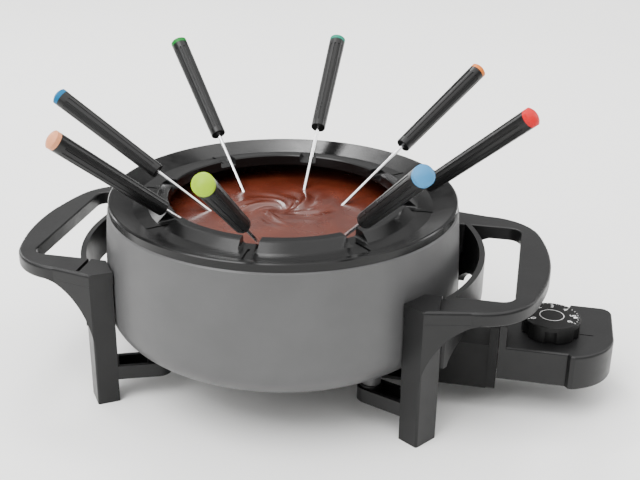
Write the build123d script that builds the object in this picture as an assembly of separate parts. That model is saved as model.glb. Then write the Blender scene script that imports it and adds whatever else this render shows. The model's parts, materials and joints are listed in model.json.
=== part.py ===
"""Electric fondue pot set: pot, fork ring, side handles with legs, eight forks and a plug-in thermostat.

Millimetres, +Z up. Everything is drawn about the pot's axis with the table at z = 0, and is then moved
so that the origin is the centre of the whole set's footprint. +X points from the pot to the thermostat.
"""
from build123d import *
from math import cos, radians, sin
import os

# ---- driving dimensions ----------------------------------------------------------------------------
RIM_Z = 129.3            # top of the pot's rim above the table
BELLY_R = 123.6          # largest outer radius of the pot
NECK_R = 120.8           # outer radius at the rim
WALL = 3.6               # thickness of the pot's wall
BASE_Z = 30.0            # underside of the pot
BASE_R = 62.0            # radius of the flat bottom
FLOOR_T = 5.0            # thickness of the pot's floor

RING_R = 120.0           # outer radius of the fork ring
RING_TOP = 134.9         # top of the ring's rim and collar
LEDGE_Z = 129.5          # ledge between the funnel and the collar
COLLAR_IN, COLLAR_OUT = 79.3, 93.2
SEAT_R, SEAT_Z = 83.0, 134.7   # where the axis of a fork's shaft crosses the collar
NOTCH_W = 12.5
NOTCH_Z = 129.4          # bottom of a notch
SLIT_W = 1.8

GRIP_TOP, GRIP_T = 98.5, 9.5
GRIP_END = 184.5         # reach of a grip from the pot's axis
GRIP_W = 21.5            # width of the grip bar
ARM_Y = 81.5             # outer side of the grip's arms
LEG_ANGLE = 34.6
LEG_IN, LEG_OUT, LEG_W = 124.8, 140.0, 19.5
BAND_T, BAND_LOW = 3.9, 72.5
BAR_LOW, BAR_TOP = 17.0, 27.0
BOSS_X, BOSS_Y, BOSS_TOP = 75.0, 59.6, 29.0     # where the foot bars are screwed to the pot
BAR_ANGLE, BAR_W = 22.3, 18.6

SOCKET_X, PLATE_X, MATE_X = 92.0, 149.0, 155.0
SOCKET_Y, SOCKET_LOW, SOCKET_TOP, PLATE_TOP = 30.0, 17.0, 50.0, 52.0
GUARD_Y, GUARD_TOP = -4.0, 67.0      # raised front part of the two faces that meet
PIN_Y, PIN_Z = 17.0, 36.0      # terminal pins, either side of the probe
PIN_R, PROBE_R, PROBE_Z = 2.4, 3.2, 34.0
SHROUD_SCREW = (71.0, 30.0)
BODY_LOW, BODY_SPLIT, BODY_TOP = 25.5, 38.0, 50.0
SHELL_T = 2.4
HEAD_X, BODY_END = 202.0, 230.5
DIAL_X, DIAL_R, DIAL_TOP = 188.3, 19.4, 62.3
GAP = 0.3                # space between pieces that move apart
HOUSING_SCREWS = [(168.0, -24.0), (168.0, 29.0), (210.0, -24.0), (208.0, 36.0)]
CORD_X, CORD_Y, CORD_Z, CORD_R = 216.0, 42.0, 36.0, 3.0    # supply lead's entry, along +Y

SHAFT_L = 118.0
CAP_BASE, CAP_H = 87.0, 5.4    # where a fork's cap starts up its handle, and its height
HANDLE_R, TIP_R = 6.2, 5.4     # radius of a fork's handle at the cap and at the shaft
SHAFT_R = 1.3
# name: seat angle about the pot, direction of lean, rise, length of shaft outside the collar
FORKS = {
    "green": (133.2, 132.9, 39.7, 21.7),
    "teal": (88.3, 89.8, 36.0, 25.8),
    "orange": (46.8, 52.1, 29.8, 27.7),
    "cyan": (178.2, 174.4, 32.6, 11.1),
    "peach": (223.2, 221.1, 39.7, 8.1),
    "lime": (-88.2, -89.2, 35.3, 37.5),
    "blue": (-46.6, -56.6, 36.3, 30.7),
    "red": (0.8, -23.2, 41.0, 25.0),
}

parts = {}


def turned(profile):
    """A solid of revolution from a closed (r, z) line."""
    return revolve(Plane.XZ * make_face(profile), Axis.Z)


def cyl(r, z0, z1, x=0.0, y=0.0):
    return Pos(x, y, z0) * Cylinder(r, z1 - z0, align=(Align.CENTER, Align.CENTER, Align.MIN))


def rod_x(r, x0, x1, y, z):
    """A round bar along X."""
    bar = Cylinder(r, x1 - x0, align=(Align.CENTER, Align.CENTER, Align.MIN))
    return Pos(x0, y, z) * Rot(0, 90, 0) * bar


def block(x0, x1, y0, y1, z0, z1):
    return Pos(x0, y0, z0) * Box(x1 - x0, y1 - y0, z1 - z0, align=(Align.MIN, Align.MIN, Align.MIN))


def at_leg(shape, side):
    """Place a shape drawn along +X on the radius of a leg."""
    return Rot(0, 0, side * LEG_ANGLE) * shape


# ---- pot -------------------------------------------------------------------------------------------
def pot_outside():
    """The (r, z) line of the pot's outer face, from the axis to the rim."""
    belly_z = BASE_Z + 30.0
    return Curve() + [
        Line((0, BASE_Z), (BASE_R, BASE_Z)),
        EllipticalCenterArc((BASE_R, belly_z), BELLY_R - BASE_R, 30.0, start_angle=270, arc_size=90),
        ThreePointArc((BELLY_R, belly_z), (BELLY_R - 0.5, 95), (NECK_R, RIM_Z - 1.2)),
        Line((NECK_R, RIM_Z - 1.2), (NECK_R - 1.2, RIM_Z)),
    ]


def pot_filled():
    """The pot without its hollow, for cutting what fits round it."""
    return turned(pot_outside() + [Line((NECK_R - 1.2, RIM_Z), (0, RIM_Z)), Line((0, RIM_Z), (0, BASE_Z))])


def pot():
    belly_z = BASE_Z + 30.0
    rim_in = NECK_R - WALL
    inside = Curve() + [
        Line((0, BASE_Z + FLOOR_T), (BASE_R, BASE_Z + FLOOR_T)),
        EllipticalCenterArc(
            (BASE_R, belly_z + 2), BELLY_R - BASE_R - WALL, 32 - FLOOR_T, start_angle=270, arc_size=90
        ),
        ThreePointArc((BELLY_R - WALL, belly_z + 2), (BELLY_R - WALL - 0.5, 96), (rim_in, RIM_Z)),
    ]
    edge = Curve() + [Line((0, BASE_Z), (0, BASE_Z + FLOOR_T)), Line((rim_in, RIM_Z), (NECK_R - 1.2, RIM_Z))]
    body = turned(inside + pot_outside() + edge)
    for x in (-BOSS_X, BOSS_X):
        for y in (-BOSS_Y, BOSS_Y):
            body += cyl(6.5, BOSS_TOP, BASE_Z + 7.5, x, y)
            body -= cyl(2.05, BOSS_TOP - 1, BASE_Z + 3, x, y)
    for y in (-SHROUD_SCREW[1], SHROUD_SCREW[1]):
        body += cyl(5.0, SOCKET_LOW + 2.5, BASE_Z + 3, SHROUD_SCREW[0], y)
        body -= cyl(1.8, 0, BASE_Z - 1, SHROUD_SCREW[0], y)
    return body


# ---- fork ring -------------------------------------------------------------------------------------
def fork_ring():
    lip = 116.3
    line = Polyline(
        (COLLAR_IN, 127.3), (COLLAR_IN, RING_TOP - 0.8), (COLLAR_IN + 0.8, RING_TOP),
        (86.0, RING_TOP), (87.0, RING_TOP - 0.6), (COLLAR_OUT, LEDGE_Z), (103.3, LEDGE_Z),
        (118.2, RING_TOP), (119.3, RING_TOP), (RING_R, RING_TOP - 0.7), (RING_R, RIM_Z + 0.2),
        (lip, RIM_Z + 0.2), (lip, 124.6), (lip - 2.4, 124.6), (lip - 2.4, 131.1), (103.0, 127.0),
        (91.0, 127.0), (91.0, 127.3), close=True,
    )
    ring = turned(line)
    for k in range(8):
        notch = block(70, 95, -NOTCH_W / 2, NOTCH_W / 2, NOTCH_Z, 140)
        notch = fillet(notch.edges().filter_by(Axis.X).group_by(Axis.Z)[0], 1.8)
        slit = block(88, 104, -SLIT_W / 2, SLIT_W / 2, LEDGE_Z - 1.0, 132)
        ring -= Rot(0, 0, 45 * k) * (notch + slit)
    return ring


# ---- handles with legs -----------------------------------------------------------------------------
def grip_outline():
    """Plan of the grip's outer edge: slanted arms, round corners and a long flat curve at the end."""
    corner_x, corner_r = 138.0, 40.0
    dx, dy = GRIP_END - corner_x, ARM_Y - corner_r
    end_r = (dx * dx + dy * dy - corner_r**2) / (2 * (dx - corner_r))
    centre = GRIP_END - end_r
    reach = Vector(corner_x - centre, dy).normalized() * end_r
    join = (centre + reach.X, reach.Y)
    middle = Vector(corner_x, dy) + Vector(sin(radians(40)), cos(radians(40))) * corner_r
    root = Vector(LEG_IN - 12, LEG_W / 2, 0).rotate(Axis.Z, LEG_ANGLE)
    heel = Vector(LEG_OUT, LEG_W / 2, 0).rotate(Axis.Z, LEG_ANGLE)
    return make_face(Curve() + [
        Line((root.X, -root.Y), (heel.X, -heel.Y)), Line((heel.X, -heel.Y), (corner_x, -ARM_Y)),
        ThreePointArc((corner_x, -ARM_Y), (middle.X, -middle.Y), (join[0], -join[1])),
        ThreePointArc((join[0], -join[1]), (GRIP_END, 0), join),
        ThreePointArc(join, (middle.X, middle.Y), (corner_x, ARM_Y)),
        Line((corner_x, ARM_Y), (heel.X, heel.Y)), Line((heel.X, heel.Y), (root.X, root.Y)),
        Line((root.X, root.Y), (root.X, -root.Y)),
    ])


def handle():
    """The right-hand moulding: grip, arc band, two legs with arched brackets, and two foot bars."""
    grip_low = GRIP_TOP - GRIP_T
    hole_y = ARM_Y - GRIP_W + 1.0
    grip = extrude(Pos(0, 0, grip_low) * grip_outline(), GRIP_T)
    grip = fillet([e for e in grip.edges().group_by(Axis.Z)[-1] if e.center().X > 112], 2.2)
    grip = fillet([e for e in grip.edges().group_by(Axis.Z)[0] if e.center().X > 120], 1.5)
    hole = block(100, GRIP_END - GRIP_W, -hole_y, hole_y, 0, 200)
    hole = fillet(hole.edges().filter_by(Axis.Z).group_by(Axis.X)[-1], 9)
    grip -= hole
    top = [e for e in grip.edges() if e.center().Z > GRIP_TOP - 0.01]
    grip = fillet([e for e in top if abs(e.center().Y) < hole_y + 1], 1.2)

    band = cyl(LEG_OUT + 0.6, BAND_LOW - 22, GRIP_TOP) - cyl(LEG_OUT + 0.6 - BAND_T, 0, 200)
    band &= block(115, 150, -hole_y - 8, hole_y + 8, 0, 200)
    band -= extrude(Plane.YZ * Pos(0, BAND_LOW - 24) * Ellipse(66, 24), 200)

    body = grip + band
    swept = extrude(grip_outline(), 200) - cyl(LEG_IN, -1, 200)
    for side in (-1, 1):
        web = block(96, 152, -90, -62, 36, grip_low + 1)
        web -= extrude(Plane.XZ * Pos(152, 36) * Ellipse(44, grip_low + 1.5 - 36), 200, both=True)
        leg = block(LEG_IN, LEG_OUT, -LEG_W / 2, LEG_W / 2, 0, GRIP_TOP - 0.01)
        leg = fillet(leg.edges().filter_by(Axis.Z).group_by(Axis.X)[-1], 1.6)
        bar = block(0, 50, -BAR_W / 2, BAR_W / 2, BAR_LOW, BAR_TOP) + cyl(BAR_W / 2, BAR_LOW, BAR_TOP)
        bar -= block(0, 27, -BAR_W / 2 + 3, BAR_W / 2 - 3, BAR_LOW + 2.5, 60)
        bar += cyl(7.5, BAR_LOW, BOSS_TOP)
        bar -= cyl(2.3, 0, 60) + cyl(5.0, 0, BAR_LOW + 3.5)
        bar = Pos(BOSS_X, -BOSS_Y, 0) * Rot(0, 0, -BAR_ANGLE) * bar
        lower = at_leg(leg, -1) + (bar & cyl(LEG_IN + 4, 0, 60)) + (web & swept)
        body += lower if side < 0 else mirror(lower, Plane.XZ)
    body -= cyl(LEG_IN - 0.5, 33, 200)
    slot = block(118.5, 121, -82, -60, GRIP_TOP - 2.5, 120)
    return body - slot


# ---- heating element and socket --------------------------------------------------------------------
def heating_element():
    """Tube in a rounded square under the floor, with both ends brought out to the terminals."""
    z, half = BASE_Z - 3.5, 50.0
    lead = [(122, PIN_Y, PIN_Z), (112, PIN_Y, PIN_Z), (80, PIN_Y, z)]
    loop = [(46, PIN_Y, z), (46, half, z), (-half, half, z)]
    way_out = lead + loop
    way_back = [(x, -y, height) for x, y, height in reversed(way_out)]
    bends = [12, 20, 12, 14, 44]
    route = FilletPolyline(*way_out, *way_back, radius=bends + bends[::-1])
    return sweep(Plane(origin=route @ 0, z_dir=route % 0) * Circle(3.2), route)


def probe_well(filled):
    """Bored lug on the pot's lower corner that takes the thermostat's probe."""
    lug = rod_x(6.0, 99, 122, 0, PROBE_Z) - filled
    return lug - rod_x(PROBE_R + 0.3, 103.5, 130, 0, PROBE_Z)


def socket_shroud(filled):
    """Box round the terminals, open at its mouth, with a tall face plate."""
    w, t = SOCKET_Y, 2.5
    box = block(SOCKET_X, PLATE_X, -w, w, SOCKET_LOW, SOCKET_TOP)
    box -= block(0, 200, -w + t, w - t, SOCKET_LOW + t, SOCKET_TOP - t)
    tab = block(63, SOCKET_X + 1, -w - 3.5, w + 3.5, SOCKET_LOW, SOCKET_LOW + t)
    tab = fillet(tab.edges().filter_by(Axis.Z).group_by(Axis.X)[0], 8)
    tab -= block(50, 84, -22, 22, 0, 60)
    plate = block(PLATE_X, MATE_X, -w - 1, w + 1, SOCKET_LOW, PLATE_TOP)
    plate = fillet(plate.edges().filter_by(Axis.X), 2.5)
    guard = block(PLATE_X, MATE_X, -w - 1, GUARD_Y, PLATE_TOP - 6, GUARD_TOP)
    plate += fillet(guard.edges().filter_by(Axis.X).group_by(Axis.Z)[-1], 4)
    plate -= block(140, 160, -24.5, 24.5, 27.0, 47.0)
    shroud = box + tab + plate - Pos(0, 0, -0.6) * filled - cyl(LEG_IN + 1, 33, 200)
    for y in (-SHROUD_SCREW[1], SHROUD_SCREW[1]):
        shroud -= cyl(2.0, 0, 40, SHROUD_SCREW[0], y)
    return shroud


def terminal_plate():
    """Ceramic plate across the shroud that carries the pins."""
    plate = block(123.5, 128.5, -SOCKET_Y + 2.5, SOCKET_Y - 2.5, SOCKET_LOW + 2.5, SOCKET_TOP - 2.5)
    return plate - rod_x(6.5, 100, 150, 0, PROBE_Z) - Compound(terminal_pins().solids())


def terminal_pins():
    pins = []
    for y in (-PIN_Y, PIN_Y):
        pin = rod_x(PIN_R, 122, 146, y, PIN_Z)
        pins.append(chamfer(pin.edges().group_by(Axis.X)[-1], 0.8))
    return Compound(pins)


def pan_screw(x, y, head_z, shank_z, head_r, shank_r):
    """Pan-head screw driven upwards, with a cross recess in its head."""
    head = cyl(head_r, head_z - 2.2, head_z, x, y)
    head = fillet(head.edges().group_by(Axis.Z)[0], 0.8)
    cross = block(-head_r / 2, head_r / 2, -0.5, 0.5, 0, 1.4)
    cross += Rot(0, 0, 90) * cross
    return head + cyl(shank_r, head_z, shank_z, x, y) - Pos(x, y, head_z - 2.3) * cross


def foot_screws(handle):
    x = -BOSS_X if handle else BOSS_X
    return Compound([pan_screw(x, y, BAR_LOW + 3.5, BASE_Z + 2.5, 4.4, 2.0) for y in (-BOSS_Y, BOSS_Y)])


def shroud_screws():
    x, y = SHROUD_SCREW
    return Compound([pan_screw(x, side * y, SOCKET_LOW, BASE_Z - 2, 3.6, 1.75) for side in (-1, 1)])


# ---- forks -----------------------------------------------------------------------------------------
def fork_frame(seat, lean, rise, out):
    """Frame at the shaft end of a handle, with z up the handle."""
    foot = Vector(SEAT_R, 0, SEAT_Z).rotate(Axis.Z, seat)
    way = Vector(cos(radians(rise)), 0, sin(radians(rise))).rotate(Axis.Z, lean)
    across = Vector(0, 1, 0).rotate(Axis.Z, lean)
    return Plane(origin=foot + way * out, x_dir=across, z_dir=way)


def fork_handle():
    """Tapered round handle with flutes along it and a bore for the shaft."""
    grip = Part() + Solid.make_cone(TIP_R, HANDLE_R, CAP_BASE)
    grip = fillet(grip.edges().group_by(Axis.Z)[0], 0.8)
    for k in range(12):
        flute = Pos(0, 0, 5) * Solid.make_cone(0.45, 0.6, CAP_BASE - 10)
        grip -= Rot(0, 0, 30 * k) * Rot(0, 0.5, 0) * Pos(TIP_R + 0.05, 0, 0) * flute
    return grip - cyl(SHAFT_R, -1, 24)


def fork_cap():
    """Domed end cap."""
    dome = 2.4
    ball = (HANDLE_R**2 + dome**2) / (2 * dome)
    cap = cyl(HANDLE_R, 0, CAP_H) & Pos(0, 0, CAP_H - ball) * Sphere(ball)
    return Pos(0, 0, CAP_BASE) * cap


def fork_shaft():
    """Steel rod with a flattened crotch and two pointed tines."""
    tine_l, spread, crotch = 22.0, 1.9, 4.6
    base = -SHAFT_L + tine_l
    shape = cyl(SHAFT_R, base + crotch - 1, 24)
    palm = Pos(0, 0, base + crotch / 2) * Box(2 * spread + 1.4, 1.4, crotch)
    shape += fillet(palm.edges().filter_by(Axis.Y).group_by(Axis.Z)[-1], 1.6)
    for x in (-spread, spread):
        point = Pos(x, 0, -SHAFT_L) * Solid.make_cone(0.15, 0.7, 6)
        shape += cyl(0.7, -SHAFT_L + 6, base + 2, x) + point
    return shape


# ---- thermostat ------------------------------------------------------------------------------------
def body_outline(inset=0.0):
    """Plan of the control's housing: narrow towards the pot, wider head with a round front corner."""
    front, back, head_front, head_back = -30.5, 36.0, -33.5, 45.0
    start, end = MATE_X + GAP, BODY_END
    edge = Curve() + [
        Line((start, front), (HEAD_X - 2, front)), Line((HEAD_X - 2, front), (HEAD_X, head_front)),
        Line((HEAD_X, head_front), (HEAD_X + 3, head_front)),
        ThreePointArc((HEAD_X + 3, head_front), (222.5, -21.5), (end, 4.0)),
        Line((end, 4.0), (end, head_back - 8)),
        ThreePointArc((end, head_back - 8), (end - 2.4, head_back - 2.4), (end - 8, head_back)),
        Line((end - 8, head_back), (HEAD_X, head_back)), Line((HEAD_X, head_back), (HEAD_X - 2, back)),
        Line((HEAD_X - 2, back), (start, back)), Line((start, back), (start, front)),
    ]
    outline = make_face(edge)
    return offset(outline, -inset) if inset else outline


def control_housing():
    """Lower and upper shells, split at mid height; the upper one carries the raised collar."""
    whole = extrude(Pos(0, 0, BODY_LOW) * body_outline(), BODY_TOP - BODY_LOW)
    top = [e for e in whole.edges().group_by(Axis.Z)[-1] if e.center().X > MATE_X + 2]
    whole = fillet(top, 1.8)
    low = [e for e in whole.edges().group_by(Axis.Z)[0] if e.center().X > MATE_X + 2]
    whole = fillet(low, 1.2)
    collar = block(MATE_X + GAP, MATE_X + 5, -30.5, GUARD_Y, BODY_TOP - 4, GUARD_TOP + 1)
    collar = fillet(collar.edges().filter_by(Axis.X).group_by(Axis.Z)[-1], 4)
    hollow = extrude(Pos(0, 0, BODY_LOW + SHELL_T) * body_outline(SHELL_T), BODY_TOP - BODY_LOW - 2 * SHELL_T)
    mouth = block(MATE_X - 1, MATE_X + 4, -22, 22, 28.5, 45.5)
    shell = whole + collar - hollow - mouth - cyl(3.2, 40, 60, DIAL_X, 0)
    shell -= block(208, 217, -0.5, 0.5, BODY_TOP - 0.5, BODY_TOP + 1)
    shell -= Pos(CORD_X, CORD_Y - 2, CORD_Z) * Rot(90, 0, 0) * Cylinder(4.6, 20)
    for x, y in HOUSING_SCREWS:
        shell += cyl(3.4, BODY_LOW + 0.5, BODY_TOP - 1.5, x, y)
        shell -= cyl(1.55, 0, BODY_TOP - 5, x, y) + cyl(3.0, 0, BODY_LOW + 2.2, x, y)
    lower = split(shell, Plane.XY.offset(BODY_SPLIT), keep=Keep.BOTTOM)
    upper = split(shell, Plane.XY.offset(BODY_SPLIT), keep=Keep.TOP)
    return lower, upper


def housing_screws():
    return Compound([pan_screw(x, y, BODY_LOW + 2.2, BODY_TOP - 6, 2.8, 1.5) for x, y in HOUSING_SCREWS])


def contact_block():
    """Nose that enters the shroud, with a tunnel for each pin and one for the probe."""
    nose = block(134, MATE_X + GAP + 8, -21.5, 21.5, 29.0, 45.0)
    nose = fillet(nose.edges().filter_by(Axis.X), 2.0)
    for y in (-PIN_Y, PIN_Y):
        nose -= rod_x(3.4, 130, 160, y, PIN_Z)
    return nose - rod_x(PROBE_R, 130, 170, 0, PROBE_Z)


def contact_sleeves():
    """Spring sleeves that grip the terminal pins."""
    sleeves = []
    for y in (-PIN_Y, PIN_Y):
        tube = rod_x(3.3, 136, 159, y, PIN_Z) - rod_x(PIN_R + 0.08, 130, 156, y, PIN_Z)
        sleeves.append(tube - block(135, 150, y - 0.4, y + 0.4, PIN_Z, PIN_Z + 5))
    return Compound(sleeves)


def probe_rod():
    """Sensing tube from the switch to the well, with a round tip."""
    rod = rod_x(PROBE_R - 0.05, 105, 172, 0, PROBE_Z)
    return fillet(rod.edges().group_by(Axis.X)[0], 2.4)


def bimetal_switch():
    """Snap switch on a bracket, under the dial's spindle."""
    base = block(172, 200, -11, 11, 29.5, 35.5)
    base = fillet(base.edges().filter_by(Axis.Z), 2)
    return base + block(176, 196, -8, 8, 35.5, 38.5) - cyl(3.4, 36.5, 60, DIAL_X, 0)


def dial_spindle():
    shaft = cyl(3.1, 37.0, DIAL_TOP - 4, DIAL_X)
    return shaft - block(DIAL_X + 2.2, DIAL_X + 9, -5, 5, BODY_TOP + 1, 80)


def dial():
    """Drum with a full round top and finger hollows round its side."""
    low = BODY_TOP + 0.4
    drum = cyl(DIAL_R, low, DIAL_TOP, DIAL_X)
    drum = fillet(drum.edges().group_by(Axis.Z)[-1], 0.9)
    for k in range(6):
        spot = Vector(DIAL_R + 3.6, 0, 0).rotate(Axis.Z, 60 * k + 30)
        drum -= cyl(5.6, low - 1, DIAL_TOP - 3.4, DIAL_X + spot.X, spot.Y)
    bore = cyl(3.15, low - 1, DIAL_TOP - 4, DIAL_X)
    bore -= block(DIAL_X + 2.25, DIAL_X + 9, -5, 5, low + 0.7, 80)
    return drum - bore


def cord_gland():
    """Strain relief boss on the back of the head, where the supply lead enters."""
    boss = cyl(4.5, 0, 9) + cyl(6.5, 3, 6) + Pos(0, 0, 6) * Solid.make_cone(5.6, 4.2, 8)
    return Pos(CORD_X, CORD_Y, CORD_Z) * Rot(-90, 0, 0) * (boss - cyl(CORD_R, -2, 38))


# ---- assembly --------------------------------------------------------------------------------------
filled = pot_filled()
parts["pot"] = pot()
parts["fork_ring"] = fork_ring()
right = handle()
parts["handle_right"] = right
parts["handle_left"] = mirror(right, Plane.YZ)
parts["foot_screws_right"] = foot_screws(0)
parts["foot_screws_left"] = foot_screws(180)
parts["heating_element"] = heating_element()
parts["probe_well"] = probe_well(filled)
parts["socket_shroud"] = socket_shroud(filled)
parts["shroud_screws"] = shroud_screws()
parts["terminal_plate"] = terminal_plate()
parts["terminal_pins"] = terminal_pins()

for colour, pose in FORKS.items():
    frame = fork_frame(*pose)
    parts[f"fork_{colour}_handle"] = frame * fork_handle()
    parts[f"fork_{colour}_cap"] = frame * fork_cap()
    parts[f"fork_{colour}_shaft"] = frame * fork_shaft()

parts["control_lower_shell"], parts["control_upper_shell"] = control_housing()
parts["control_screws"] = housing_screws()
parts["contact_block"] = contact_block()
parts["contact_sleeves"] = contact_sleeves()
parts["probe_rod"] = probe_rod()
parts["bimetal_switch"] = bimetal_switch()
parts["dial_spindle"] = dial_spindle()
parts["dial"] = dial()
parts["cord_gland"] = cord_gland()

box = Compound([s for p in parts.values() for s in p.solids()]).bounding_box()
origin = Pos(-round(box.center().X, 1), -round(box.center().Y, 1), 0)
os.makedirs("parts", exist_ok=True)
for name, part in parts.items():
    export_step(origin * Compound(part.solids()), f"parts/{name}.step")

print("pot axis at", origin.position, "size", box.size)
for colour, pose in FORKS.items():
    print("fork", colour, "slides along", fork_frame(*pose).z_dir)
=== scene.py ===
import json
from math import atan2, cos, exp, hypot, pi, radians, sin

import bmesh
import bpy
from mathutils import Matrix, Vector


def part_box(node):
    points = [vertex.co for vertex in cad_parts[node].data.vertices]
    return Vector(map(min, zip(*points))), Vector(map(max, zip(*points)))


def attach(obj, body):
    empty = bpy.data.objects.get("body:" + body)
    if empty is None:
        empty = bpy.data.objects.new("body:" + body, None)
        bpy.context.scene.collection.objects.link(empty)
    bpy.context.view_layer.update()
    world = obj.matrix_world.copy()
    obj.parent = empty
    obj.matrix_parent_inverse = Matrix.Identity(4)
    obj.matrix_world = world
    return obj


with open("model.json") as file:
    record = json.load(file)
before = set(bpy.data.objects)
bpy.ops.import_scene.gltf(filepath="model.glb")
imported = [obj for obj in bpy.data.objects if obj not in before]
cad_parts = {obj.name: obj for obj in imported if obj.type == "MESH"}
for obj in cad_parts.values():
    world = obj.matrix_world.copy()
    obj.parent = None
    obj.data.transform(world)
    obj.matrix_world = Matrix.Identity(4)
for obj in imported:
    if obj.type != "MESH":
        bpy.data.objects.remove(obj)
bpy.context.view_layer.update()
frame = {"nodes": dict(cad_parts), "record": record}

NODES = frame["nodes"]
SLOTS = {m["slot"]: m for m in frame["record"]["materials"]}
NODE_SLOT = {s["node"]: s["material_slot"] for s in frame["record"]["subparts"]}


def middle(node):
    low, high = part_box(node)
    return (low + high) / 2


POT = middle("pot")
DIAL_LOW, DIAL_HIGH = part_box("dial")
DIAL = middle("dial_spindle")


# ---- materials -------------------------------------------------------------------------------------
class Shader:
    """A node material with short calls for the nodes used here."""

    def __init__(self, name, **sockets):
        self.mat = bpy.data.materials.new(name)
        self.mat.use_nodes = True
        self.tree = self.mat.node_tree
        self.bsdf = self.tree.nodes["Principled BSDF"]
        self.coords = self.tree.nodes.new("ShaderNodeTexCoord").outputs["Object"]
        for key, value in sockets.items():
            self.bsdf.inputs[key.replace("_", " ")].default_value = value

    def link(self, out, socket):
        self.tree.links.new(out, socket)

    def stretched(self, scale):
        node = self.tree.nodes.new("ShaderNodeMapping")
        node.inputs["Scale"].default_value = scale
        self.link(self.coords, node.inputs["Vector"])
        return node.outputs["Vector"]

    def noise(self, scale, detail=3.0, rough=0.55, warp=0.0, coords=None):
        node = self.tree.nodes.new("ShaderNodeTexNoise")
        node.inputs["Scale"].default_value = scale
        node.inputs["Detail"].default_value = detail
        node.inputs["Roughness"].default_value = rough
        node.inputs["Distortion"].default_value = warp
        self.link(coords or self.coords, node.inputs["Vector"])
        return node.outputs["Fac"]

    def ramp(self, fac, *stops):
        node = self.tree.nodes.new("ShaderNodeValToRGB")
        band = node.color_ramp
        while len(band.elements) < len(stops):
            band.elements.new(0.5)
        for element, (place, colour) in zip(band.elements, stops):
            element.position = place
            element.color = (*colour, 1)
        self.link(fac, node.inputs["Fac"])
        return node.outputs["Color"]

    def span(self, fac, low, high, start=0.3, end=0.7):
        node = self.tree.nodes.new("ShaderNodeMapRange")
        for key, value in (("From Min", start), ("From Max", end), ("To Min", low), ("To Max", high)):
            node.inputs[key].default_value = value
        self.link(fac, node.inputs["Value"])
        return node.outputs["Result"]

    def bump(self, fac, height, before=None):
        node = self.tree.nodes.new("ShaderNodeBump")
        node.inputs["Strength"].default_value = 1.0
        node.inputs["Distance"].default_value = height
        self.link(fac, node.inputs["Height"])
        if before:
            self.link(before, node.inputs["Normal"])
        return node.outputs["Normal"]

    def finish(self, colour=None, rough=None, normal=None):
        for out, key in ((colour, "Base Color"), (rough, "Roughness"), (normal, "Normal")):
            if out:
                self.link(out, self.bsdf.inputs[key])
        return self.mat


def tones(colour, spread):
    """A darker and a lighter tone of a colour."""
    return [tuple(min(c * f, 1.0) for c in colour) for f in (1 - spread, 1 + spread)]


def paint(name, colour, rough):
    """Satin paint: orange-peel bump and a faint mottle."""
    s = Shader(name, Coat_Weight=0.04, Coat_Roughness=0.35, Specular_IOR_Level=0.35)
    dark, light = tones(colour, 0.06)
    tint = s.ramp(s.noise(28, 4), (0.35, dark), (0.65, light))
    peel = s.bump(s.noise(900, 2), 0.00003)
    gloss = s.span(s.noise(60, 3), rough - 0.03, rough + 0.05)
    return s.finish(tint, gloss, s.bump(s.noise(35, 2), 0.00008, peel))


def plastic(name, colour, rough, grain=0.00002, coat=0.0, scale=1800, spread=0.1, level=0.3):
    """Moulded plastic: fine spark-eroded grain, slow changes of tone and gloss."""
    s = Shader(name, Coat_Weight=coat, Coat_Roughness=0.08, Specular_IOR_Level=level)
    dark, light = tones(colour, spread)
    tint = s.ramp(s.noise(40, 4), (0.35, dark), (0.65, light))
    flow = s.bump(s.noise(22, 2), 0.00006)
    gloss = s.span(s.noise(75, 5, 0.6), rough - 0.04, rough + 0.06)
    return s.finish(tint, gloss, s.bump(s.noise(scale, 2), grain, flow))


def metal(name, colour, rough, scratch=(900, 900, 60), height=0.00001, spread=0.08):
    """Polished or drawn metal: fine lines, and smudges in the gloss."""
    s = Shader(name, Metallic=1.0)
    dark, light = tones(colour, spread)
    lines = s.noise(1.0, 3, 0.6, coords=s.stretched(scratch))
    tint = s.ramp(s.noise(120, 4), (0.3, dark), (0.7, light))
    return s.finish(tint, s.span(lines, rough - 0.05, rough + 0.1), s.bump(lines, height))


def heated(name, colour):
    """Element sheath: metal with straw and blue heat stains."""
    s = Shader(name, Metallic=1.0)
    stains = s.noise(18, 5, 0.6, 0.6)
    tint = s.ramp(stains, (0.3, (0.16, 0.13, 0.11)), (0.5, colour), (0.68, (0.2, 0.2, 0.27)))
    return s.finish(tint, s.span(s.noise(90, 4), 0.38, 0.6), s.bump(s.noise(700, 3), 0.00003))


def stone(name, colour):
    """Unglazed ceramic: matt, speckled, slightly pitted."""
    s = Shader(name)
    dark, light = tones(colour, 0.12)
    tint = s.ramp(s.noise(260, 6, 0.7), (0.38, dark), (0.6, light))
    return s.finish(tint, s.span(s.noise(200), 0.6, 0.8), s.bump(s.noise(1500, 4), 0.00005))


def melted(name):
    """Melted chocolate: warped streaks of darker and lighter brown, thick gloss."""
    s = Shader(name, Coat_Weight=0.3, Coat_Roughness=0.14, Subsurface_Weight=0.03, Specular_IOR_Level=0.4)
    s.bsdf.inputs["Subsurface Radius"].default_value = (0.004, 0.0012, 0.0005)
    streaks = s.noise(16, 5, 0.6, 1.6)
    tint = s.ramp(
        streaks, (0.28, (0.046, 0.0078, 0.0035)), (0.5, (0.072, 0.0135, 0.0062)), (0.72, (0.1, 0.021, 0.0105))
    )
    fine = s.bump(s.noise(34, 2, 0.5, 1.5), 0.0004)
    return s.finish(tint, s.span(s.noise(30, 3), 0.2, 0.3), fine)


def linear(slot_name):
    return tuple(SLOTS[slot_name]["base_color"])


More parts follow.
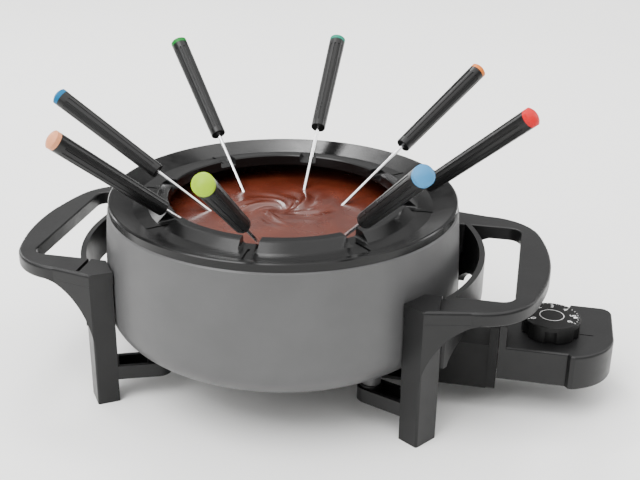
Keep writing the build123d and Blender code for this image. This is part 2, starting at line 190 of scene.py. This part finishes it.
MATERIALS = {
    "pot_paint": paint("pot_paint", (0.072, 0.072, 0.073), 0.44),
    "black_gloss": plastic("black_gloss", (0.0045, 0.0045, 0.0046), 0.2, 0.000006, scale=1400, level=0.25),
    "black_satin": plastic("black_satin", (0.006, 0.006, 0.0062), 0.36),
    "shroud_black": plastic("shroud_black", (0.005, 0.005, 0.005), 0.5, level=0.2),
    "control_satin": plastic("control_satin", (0.007, 0.007, 0.0072), 0.4),
    "dial_black": plastic("dial_black", (0.005, 0.005, 0.005), 0.42, 0.00001, level=0.2),
    "dial_print": plastic("dial_print", (0.82, 0.82, 0.82), 0.5, 0.000004, spread=0.03),
    "fork_grip": plastic("fork_grip", (0.0045, 0.0045, 0.0046), 0.3, 0.00001),
    "fork_steel": metal("fork_steel", (0.82, 0.82, 0.83), 0.16),
    "screw_steel": metal("screw_steel", linear("screw_steel"), 0.34, (300, 300, 300), 0.00002),
    "element_sheath": heated("element_sheath", linear("element_sheath")),
    "cast_aluminium": metal("cast_aluminium", linear("cast_aluminium"), 0.45, (500, 500, 500), 0.00006),
    "ceramic": stone("ceramic", linear("ceramic")),
    "pin_metal": metal("pin_metal", linear("pin_metal"), 0.2, (60, 900, 900)),
    "contact_brass": metal("contact_brass", linear("contact_brass"), 0.28, (60, 900, 900)),
    "switch_body": stone("switch_body", linear("switch_body")),
    "gland_rubber": plastic("gland_rubber", linear("gland_rubber"), 0.6, 0.00003),
    "chocolate": melted("chocolate"),
}
for name in SLOTS:
    if name.startswith("cap_"):
        rich = tuple(0.7 * c**1.25 for c in linear(name))
        MATERIALS[name] = plastic(name, rich, 0.34, 0.000006, 0, 1200, 0.05, 0.15)

for name, node in NODES.items():
    material = MATERIALS[NODE_SLOT[name]]
    if not node.material_slots:
        node.data.materials.append(material)
    for place in node.material_slots:
        place.material = material


def piece(name, mesh, slot_name, body):
    thing = bpy.data.objects.new(name, mesh)
    bpy.context.scene.collection.objects.link(thing)
    mesh.materials.clear()
    mesh.materials.append(MATERIALS[slot_name])
    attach(thing, body)
    return thing


# ---- chocolate -------------------------------------------------------------------------------------
FILL_Z = 0.116           # level of the chocolate above the table
FILL_R = 0.1178          # radius at that level, just inside the pot's wall
FLOOR_Z = 0.0355         # underside of the chocolate, just above the pot's floor
EDGE_R = 0.108           # where the surface starts to rise to the wall
EYE = Vector((-0.0056, 0.0175))     # centre of the swirl, from the pot's axis
RINGS, SPOKES = 110, 256


def fill_height(x, y):
    """Height of the surface: folds drawn into a spiral round the eye, and slow waves outside it."""
    dx, dy = x - EYE.x, y - EYE.y
    r, a = hypot(dx, dy), atan2(dy, dx)
    turn = a + 2.6 * exp(-r / 0.022)
    beside = cos(a - 0.7) ** 2
    folds = cos(3 * turn + 1.1) + 0.8 * cos(8 * turn - r * 90) + 0.35 * cos(13 * turn + r * 60)
    reach = exp(-(((r - 0.021) / 0.015) ** 2)) * min(r / 0.01, 1.0) * (0.25 + 0.75 * beside)
    waves = 0.35 * cos(2 * a + r * 75 + 0.8) * exp(-(((r - 0.06) / 0.03) ** 2))
    hollow = -2.4 * exp(-((r / 0.008) ** 2)) + 0.5 * exp(-(((r - 0.015) / 0.006) ** 2))
    edge = max(0.0, (hypot(x, y) - EDGE_R) / (FILL_R - EDGE_R))
    return (1.15 * folds * reach + waves + hollow) * 0.001 * (1 - edge**2) + 0.0007 * edge**3


def chocolate():
    """The food: its stirred surface, and a body that follows the pot's inside down to the floor."""
    wall = [
        (0.1182, 0.107), (0.1188, 0.09), (0.1192, 0.07), (0.118, 0.056), (0.109, 0.0447), (0.09, 0.0385),
        (0.062, 0.0356), (0.03, FLOOR_Z),
    ]
    bm = bmesh.new()

    def surface(x, y):
        return FILL_Z + fill_height(x, y)

    def loop(r, height):
        spots = [(r * cos(2 * pi * k / SPOKES), r * sin(2 * pi * k / SPOKES)) for k in range(SPOKES)]
        return [bm.verts.new((POT.x + x, POT.y + y, height(x, y))) for x, y in spots]

    loops = [loop(FILL_R * (j / RINGS) ** 0.9, surface) for j in range(1, RINGS + 1)]
    loops += [loop(r, lambda x, y, z=z: z) for r, z in wall]
    for upper, lower in zip(loops, loops[1:]):
        for k in range(SPOKES):
            n = (k + 1) % SPOKES
            bm.faces.new((upper[k], lower[k], lower[n], upper[n]))
    top = bm.verts.new((POT.x, POT.y, surface(0, 0)))
    bottom = bm.verts.new((POT.x, POT.y, FLOOR_Z))
    for k in range(SPOKES):
        n = (k + 1) % SPOKES
        bm.faces.new((top, loops[0][k], loops[0][n]))
        bm.faces.new((bottom, loops[-1][n], loops[-1][k]))
    for face in bm.faces:
        face.smooth = True
    mesh = bpy.data.meshes.new("chocolate_fill")
    bm.to_mesh(mesh)
    bm.free()
    return piece("chocolate_fill", mesh, "chocolate", "root")


chocolate()


# ---- print on the dial -----------------------------------------------------------------------------
def lettering(text, size, depth):
    """A mesh of one printed number, centred on its own origin."""
    curve = bpy.data.curves.new("print", "FONT")
    curve.body = text
    curve.size = size
    curve.extrude = depth
    curve.align_x = curve.align_y = "CENTER"
    curve.resolution_u = 3
    thing = bpy.data.objects.new("print", curve)
    mesh = bpy.data.meshes.new_from_object(thing)
    bpy.data.objects.remove(thing)
    bpy.data.curves.remove(curve)
    return mesh


def strip(bm, x0, x1, y0, y1, depth, place):
    """A thin printed bar, moved into place."""
    made = bmesh.ops.create_cube(bm, size=1.0)["verts"]
    size = Matrix.Diagonal((x1 - x0, y1 - y0, 2 * depth, 1))
    shift = Matrix.Translation(((x0 + x1) / 2, (y0 + y1) / 2, 0))
    bmesh.ops.transform(bm, matrix=place @ shift @ size, verts=made)


def dial_marks():
    """Numbers and ticks round the dial's top, an outline ring and a pointer."""
    depth, edge = 0.00004, (DIAL_HIGH.x - DIAL_LOW.x) / 2
    first, between = 210, 40     # degrees: place of the 0, and the step to the next number
    ring_in, ring_out, ring_parts = 0.0078, 0.0082, 48
    centre = Matrix.Translation((DIAL.x, DIAL.y, DIAL_HIGH.z + depth))
    bm = bmesh.new()
    for k in range(7):
        mesh = lettering(str(k), 0.0056, depth)
        turn = Matrix.Rotation(radians(first - between * k), 4, "Z")
        outward = Matrix.Translation((edge - 0.0056, 0, 0))
        mesh.transform(centre @ (turn @ outward @ Matrix.Rotation(-pi / 2, 4, "Z")))
        bm.from_mesh(mesh)
        bpy.data.meshes.remove(mesh)
    for k in range(25):
        place = centre @ Matrix.Rotation(radians(first - between / 4 * k), 4, "Z")
        longer = 0 if k % 4 else 0.0006
        strip(bm, edge - 0.0022 - longer, edge - 0.0013, -0.00014, 0.00014, depth, place)
    for k in range(ring_parts):
        place = centre @ Matrix.Rotation(2 * pi * k / ring_parts, 4, "Z")
        strip(bm, ring_in, ring_out, -0.00053, 0.00053, depth, place)
    tip = edge - 0.0014
    corners = ((tip, 0), (tip - 0.0036, 0.0016), (tip - 0.0036, -0.0016))
    arrow = [bm.verts.new(centre @ Vector((x, y, depth))) for x, y in corners]
    bm.faces.new(arrow[::-1])
    bmesh.ops.recalc_face_normals(bm, faces=bm.faces)
    mesh = bpy.data.meshes.new("dial_marks")
    bm.to_mesh(mesh)
    bm.free()
    return piece("dial_marks", mesh, "dial_print", "dial")


dial_marks()

# ---- floor, light, camera --------------------------------------------------------------------------
def studio_floor():
    mesh = bpy.data.meshes.new("floor")
    bm = bmesh.new()
    bmesh.ops.create_circle(bm, cap_ends=True, radius=14, segments=96)
    bm.to_mesh(mesh)
    bm.free()
    floor = bpy.data.objects.new("floor", mesh)
    bpy.context.scene.collection.objects.link(floor)
    pale = Shader("studio_floor", Roughness=0.85, Specular_IOR_Level=0.1)
    tint = pale.ramp(pale.noise(3), (0.3, (0.86, 0.86, 0.85)), (0.7, (0.88, 0.88, 0.87)))
    mesh.materials.append(pale.finish(tint))


def softbox(name, place, size, power):
    lamp = bpy.data.lights.new(name, "AREA")
    lamp.shape = "RECTANGLE"
    lamp.size, lamp.size_y = size
    lamp.energy = power
    thing = bpy.data.objects.new(name, lamp)
    thing.location = place
    thing.rotation_euler = (POT - Vector(place)).to_track_quat("-Z", "Y").to_euler()
    bpy.context.scene.collection.objects.link(thing)


def sky_light():
    sun = bpy.data.objects.new("sky_light", bpy.data.lights.new("sky_light", "SUN"))
    sun.data.energy, sun.data.angle = 2.6, 0.7
    sun.rotation_euler = Vector((0.35, 0.45, -1.0)).to_track_quat("-Z", "Y").to_euler()
    bpy.context.scene.collection.objects.link(sun)


def sky_dome():
    """Bright overhead and darker lower down, so that glossy black stays black."""
    world = bpy.data.worlds.new("studio")
    bpy.context.scene.world = world
    world.use_nodes = True
    nodes, links = world.node_tree.nodes, world.node_tree.links
    way = nodes.new("ShaderNodeTexCoord")
    axes = nodes.new("ShaderNodeSeparateXYZ")
    dome = nodes.new("ShaderNodeValToRGB")
    dome.color_ramp.elements.new(0.5)
    levels = ((0.22, 0.24), (0.55, 0.09), (0.78, 1.0))
    for element, (place, level) in zip(dome.color_ramp.elements, levels):
        element.position = place
        element.color = (level, level * 0.997, level * 0.99, 1)
    links.new(way.outputs["Generated"], axes.inputs["Vector"])
    links.new(axes.outputs["Z"], dome.inputs["Fac"])
    links.new(dome.outputs["Color"], nodes["Background"].inputs["Color"])
    nodes["Background"].inputs["Strength"].default_value = 3.0


def set_camera():
    camera = bpy.data.objects.new("camera", bpy.data.cameras.new("camera"))
    bpy.context.scene.collection.objects.link(camera)
    bpy.context.scene.camera = camera
    camera.data.sensor_width = 36
    camera.data.lens = 59.06
    camera.data.shift_x = 0.058
    camera.location = Vector((POT.x, POT.y, 0)) + Vector((0.1616, -0.6606, 0.3923))
    camera.rotation_euler = Vector((-0.2182, 0.8918, -0.3964)).to_track_quat("-Z", "Y").to_euler()
    camera.data.clip_start, camera.data.clip_end = 0.01, 60


studio_floor()
softbox("key", (-0.7, -1.3, 1.1), (0.9, 0.9), 12)
softbox("behind", (-0.45, 0.75, 1.35), (0.45, 0.22), 8)
softbox("left_strip", (-1.3, 0.7, 0.75), (0.25, 0.7), 5)
softbox("right_strip", (1.3, 0.9, 0.8), (0.25, 0.7), 5)
sky_light()
sky_dome()
set_camera()
